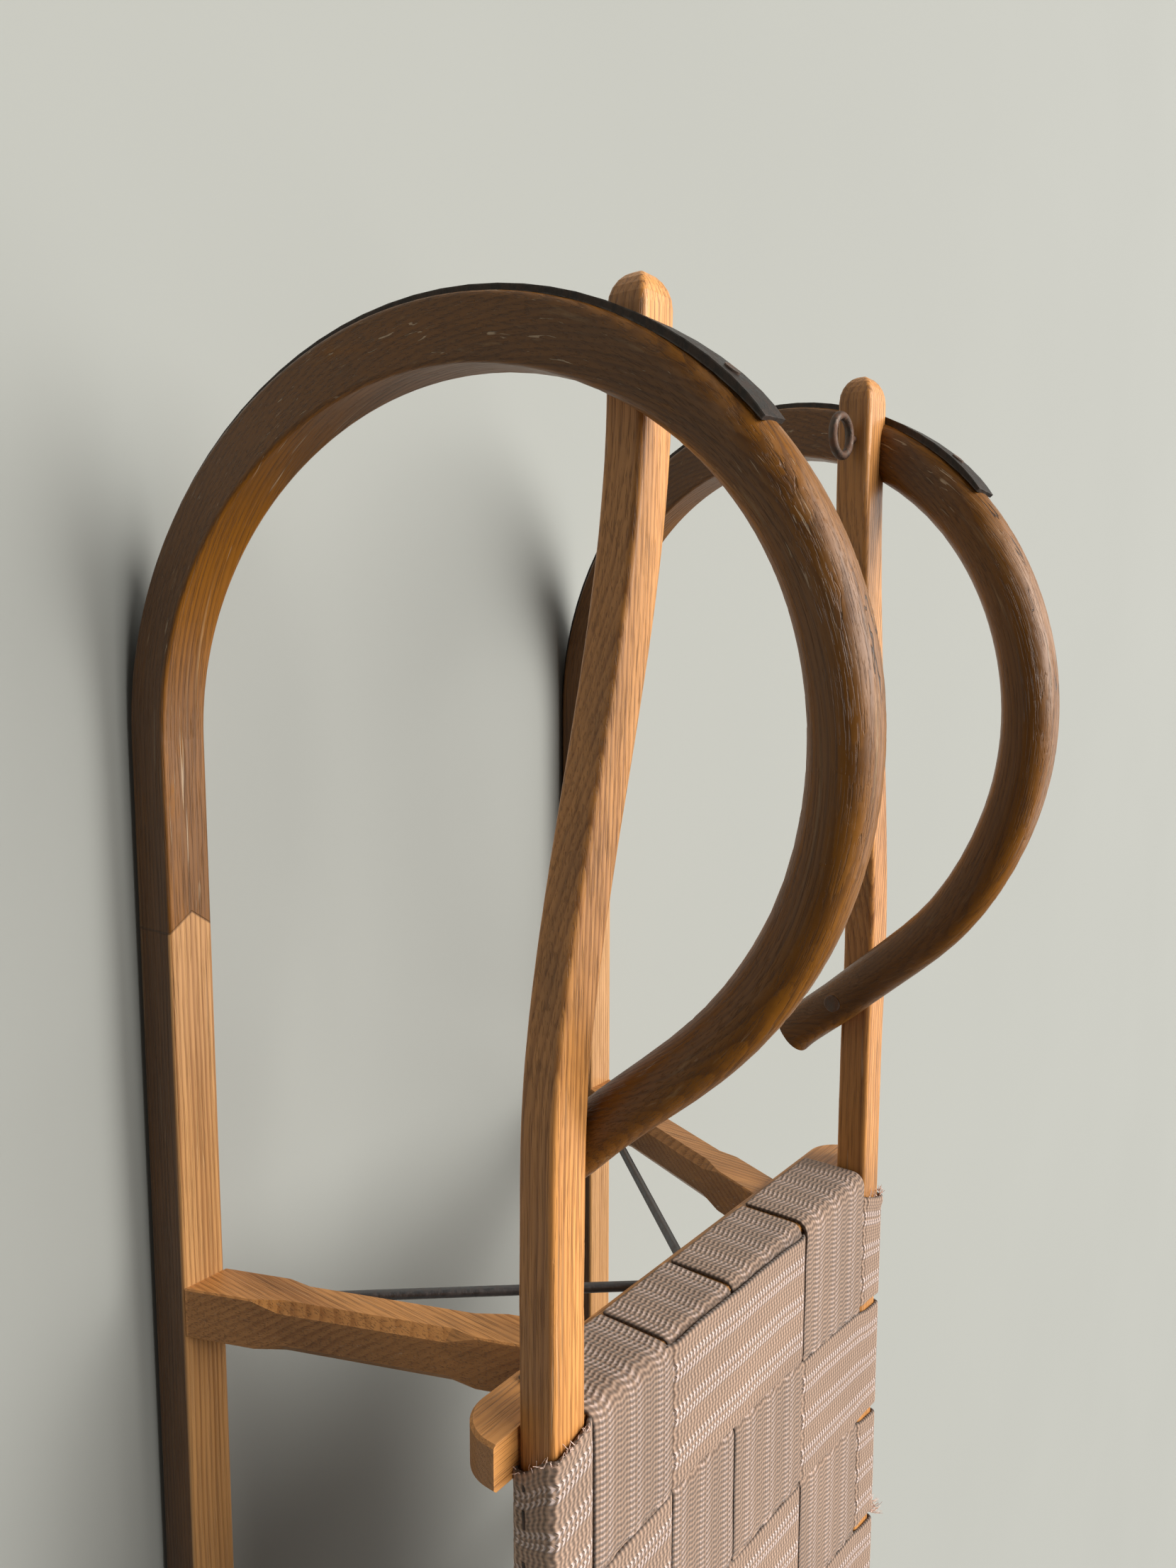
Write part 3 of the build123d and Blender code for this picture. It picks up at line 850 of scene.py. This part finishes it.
class TOBOGGAN_OT_fray(bpy.types.Operator):
    """Adds the frayed threads along the front row's cut edge and on the right rail."""

    bl_idname = "toboggan.fray"
    bl_label = "Fray the cut edges"

    def execute(self, context):
        settings = context.scene.toboggan_webbing
        material, tree, shader = new_material("frayed jute")
        place = tree.nodes.new("ShaderNodeTexCoord").outputs["Object"]
        mottle = cloud(tree, stretched(tree, place, 400, 400, 400), 1.0, 2.0)
        light = paler(settings.rib, 1.15)
        colour = blended(tree, spread(tree, mottle, 0.3, 0.7), tuple(settings.ground), light)
        tree.links.new(colour, shader.inputs["Base Color"])
        tree.links.new(spread(tree, mottle, 0.2, 0.8, 0.8, 0.95), shader.inputs["Roughness"])
        rng = random.Random(11)
        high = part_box(ROWS[0])[1]
        bm = bmesh.new()
        for side, threads in ((1, 46), (-1, 26)):
            for _ in range(threads):
                f = rng.random()
                if f < 0.5:
                    y, z = 0.1445 + 0.0225 * f * 2, high[2] + 0.0002
                    out = Vector((0, 0, 1))
                else:
                    y, z = high[1] + 0.0002, high[2] - 0.0205 * (f - 0.5) * 2
                    out = Vector((0, side, 0))
                x = high[0] + row_shift(side * y, settings) - pulled_back(side * y, high[2] - z) - 0.0016
                heading = Vector((0.8, rng.uniform(-0.5, 0.5), rng.uniform(-0.4, 0.4)))
                heading = (heading + out * rng.uniform(-0.1, 0.35)).normalized()
                length = rng.uniform(0.0025, 0.0058)
                loose_thread(bm, rng, Vector((x, side * y, z)), heading, length, 0.00032)
        tuft_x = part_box(ROWS[2])[0][0] + row_shift(-RAIL_SIDE, settings) + 0.003
        knot = Vector((tuft_x, -0.1665, high[2] - 0.0004))
        for _ in range(30):
            spot = knot + scattered(rng, (-0.004, 0.004), (-0.001, 0.001), (-0.003, 0.0))
            heading = scattered(rng, (-0.6, 0.6), (-1.0, -0.2), (-0.1, 0.8)).normalized()
            loose_thread(bm, rng, spot, heading, rng.uniform(0.004, 0.0095), 0.00030)
        finish_piece(bm, "webbing_frayed_threads", material)
        return {"FINISHED"}


class TOBOGGAN_OT_staples(bpy.types.Operator):
    """Drives the dark staples that hold the rows to the rails' outer faces."""

    bl_idname = "toboggan.staples"
    bl_label = "Add the staples"

    def execute(self, context):
        settings = context.scene.toboggan_webbing
        material = steel("dark staple steel", (0.035, 0.028, 0.024), (0.07, 0.032, 0.018), 0.6, 0.55, 0.6)
        rng = random.Random(5)
        bm = bmesh.new()
        for name in ROWS:
            low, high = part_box(name)
            for side in (1, -1):
                for share in (0.2, 0.5, 0.78):
                    x = low[0] + (high[0] - low[0]) * share + row_shift(side * RAIL_SIDE, settings)
                    x += rng.uniform(-0.002, 0.002)
                    made = bmesh.ops.create_cube(bm, size=1.0)["verts"]
                    bmesh.ops.scale(bm, verts=made, vec=(0.0085, 0.0009, 0.0012))
                    bmesh.ops.rotate(bm, verts=made, matrix=Matrix.Rotation(rng.uniform(-0.12, 0.12), 3, "Y"))
                    bmesh.ops.translate(
                        bm, verts=made,
                        vec=(x, side * (high[1] + 0.0003), low[2] + 0.0075 + rng.uniform(-0.0006, 0.0006)),
                    )
        bmesh.ops.bevel(
            bm, geom=bm.edges[:], offset=0.0003, segments=2, profile=0.5, affect="EDGES", material=-1
        )
        finish_piece(bm, "webbing_staples", material)
        return {"FINISHED"}


class TOBOGGAN_OT_wood(bpy.types.Operator):
    """Gives the runners, rails, beams and posts their varnished grain."""

    bl_idname = "toboggan.wood"
    bl_label = "Finish the wood"

    def execute(self, context):
        s = context.scene.toboggan_wood
        bright, dark = tuple(s.light), tuple(s.dark)
        light = scaled(bright, 0.78)
        # The runners' varnish is the darkest.
        deep, deeper = scaled(light, 0.42, 0.34, 0.07), scaled(dark, 0.32, 0.29, 0.08)
        pitch, curl = s.ring_pitch, (s.curl_x, s.curl_z, s.curl_radius)
        places = ("front", "middle", "rear")

        def finish(node, *values):
            kind, where = node.split("_", 1)
            dress([node], wood(f"{kind} wood {where.replace('_', ' ')}", *values))

        for k, side in enumerate(("left", "right")):
            shift = (0.31 * k, 0.07 * k, 0.013 * k)
            finish(f"runner_{side}", "X", shift, deep, deeper, pitch * 0.85, 0.75, curl)
            finish(f"rail_{side}", "X", (1.3 + k, 0.4 * k, 0.02), bright, dark, pitch * 0.9, 0.6)
            for m, place in enumerate(places):
                finish(f"post_{place}_{side}", "Z", (2.1 + m, 0.3 * k, 0.05 * m), light, dark, pitch, 0.6)
        for m, place in enumerate(places):
            finish(f"beam_{place}", "Y", (0.7 * m, 0.11 * m, 0.03), light, dark, pitch * 1.1, 0.6)
        return {"FINISHED"}


class TOBOGGAN_OT_steel(bpy.types.Operator):
    """Gives the shoes, rods, screws, eyes and tacks their steel."""

    bl_idname = "toboggan.steel"
    bl_label = "Finish the steel"

    def execute(self, context):
        shoes = steel("blackened shoe steel", (0.030, 0.025, 0.022), (0.055, 0.028, 0.015), 0.85, 0.42, 0.5)
        rods = steel("grey rod steel", (0.15, 0.15, 0.155), (0.10, 0.055, 0.03), 0.95, 0.36, 0.3)
        small = steel("rust-tinged steel", (0.10, 0.075, 0.06), (0.12, 0.05, 0.022), 0.85, 0.45, 0.85)
        dress(["shoe_left", "shoe_right"], shoes)
        dress([n for n in NODES if n.startswith("brace_rod")], rods)
        dress(["screw_eye_left", "screw_eye_right", "curl_screws", "shoe_screws", "web_tacks"], small)
        return {"FINISHED"}


class TOBOGGAN_OT_stage(bpy.types.Operator):
    """Sets the floor, the two soft lights and the camera."""

    bl_idname = "toboggan.stage"
    bl_label = "Set the stage"

    def execute(self, context):
        s = context.scene.toboggan_stage
        scene = context.scene
        bm = bmesh.new()
        bmesh.ops.create_grid(bm, x_segments=8, y_segments=8, size=s.floor_size)
        mesh = bpy.data.meshes.new("floor")
        bm.to_mesh(mesh)
        bm.free()
        floor = bpy.data.objects.new("floor", mesh)
        scene.collection.objects.link(floor)
        material, tree, shader = new_material("pale floor")
        place = tree.nodes.new("ShaderNodeTexCoord").outputs["Object"]
        mottle = cloud(tree, place, 1.4, 3.0)
        colour = tuple(s.floor_colour)
        mottled = blended(tree, mottle, colour, scaled(colour, 0.93))
        tree.links.new(mottled, shader.inputs["Base Color"])
        shader.inputs["Roughness"].default_value = 0.85
        mesh.materials.append(material)

        world = bpy.data.worlds.new("studio")
        world.use_nodes = True
        tree = world.node_tree
        back = tree.nodes["Background"]
        seen = tree.nodes.new("ShaderNodeLightPath").outputs["Is Camera Ray"]
        # The camera sees a pale backdrop; everything else gets a weak, even light.
        around = blended(tree, seen, (s.sky * 1.03, s.sky, s.sky * 0.94), tuple(s.backdrop))
        tree.links.new(around, back.inputs["Color"])
        scene.world = world
        scene.view_settings.view_transform = "Standard"

        lights = (
            ("soft light from above", s.key_strength, 48, (-0.34, 0.24, -0.91), (0.58, -0.16, 1.5)),
            ("soft light from the right", s.fill_strength, 70, (-0.10, 0.72, -0.68), (0.1, -1.2, 1.2)),
        )
        for name, strength, angle, heading, place in lights:
            data = bpy.data.lights.new(name, "SUN")
            data.energy = strength
            data.angle = math.radians(angle)
            data.color = (1.0, 0.985, 0.955)
            lamp = bpy.data.objects.new(name, data)
            lamp.rotation_euler = Vector(heading).to_track_quat("-Z", "Y").to_euler()
            lamp.location = place
            scene.collection.objects.link(lamp)

        data = bpy.data.cameras.new("camera")
        data.sensor_width = 36.0
        data.lens = s.lens
        data.clip_start, data.clip_end = 0.01, 200.0
        camera = bpy.data.objects.new("camera", data)
        ahead = Vector((-0.11049, -0.78948, -0.60373)).normalized()
        up = Vector((0.9939, -0.0870, -0.0682))
        right = ahead.cross(up).normalized()
        up = right.cross(ahead)
        turned = Matrix((right, up, -ahead)).transposed().to_4x4()
        turned.translation = Vector((0.4550, 0.5031, 0.5370))
        camera.matrix_world = turned
        scene.collection.objects.link(camera)
        scene.camera = camera
        return {"FINISHED"}


class TOBOGGAN_PT_panel(bpy.types.Panel):
    """Lists the toboggan's steps."""

    bl_label = "Wooden Toboggan"
    bl_idname = "TOBOGGAN_PT_panel"
    bl_space_type = "VIEW_3D"
    bl_region_type = "UI"
    bl_category = "Toboggan"

    def draw(self, context):
        for name in STEPS:
            self.layout.operator(name)


STEPS = (
    "toboggan.stage", "toboggan.strips", "toboggan.rows", "toboggan.fray", "toboggan.staples",
    "toboggan.wood", "toboggan.steel",
)
CLASSES = (
    WebbingSettings, WoodSettings, StageSettings,
    TOBOGGAN_OT_strips, TOBOGGAN_OT_rows, TOBOGGAN_OT_fray, TOBOGGAN_OT_staples,
    TOBOGGAN_OT_wood, TOBOGGAN_OT_steel, TOBOGGAN_OT_stage, TOBOGGAN_PT_panel,
)
SETTINGS = (
    ("toboggan_webbing", WebbingSettings),
    ("toboggan_wood", WoodSettings),
    ("toboggan_stage", StageSettings),
)


def register():
    for cls in CLASSES:
        bpy.utils.register_class(cls)
    for name, cls in SETTINGS:
        setattr(bpy.types.Scene, name, PointerProperty(type=cls))


def unregister():
    for name, _ in SETTINGS:
        delattr(bpy.types.Scene, name)
    for cls in reversed(CLASSES):
        bpy.utils.unregister_class(cls)


def main():
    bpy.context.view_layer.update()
    register()
    for step in STEPS:
        group, name = step.split(".")
        getattr(getattr(bpy.ops, group), name)()


if __name__ == "__main__":
    main()
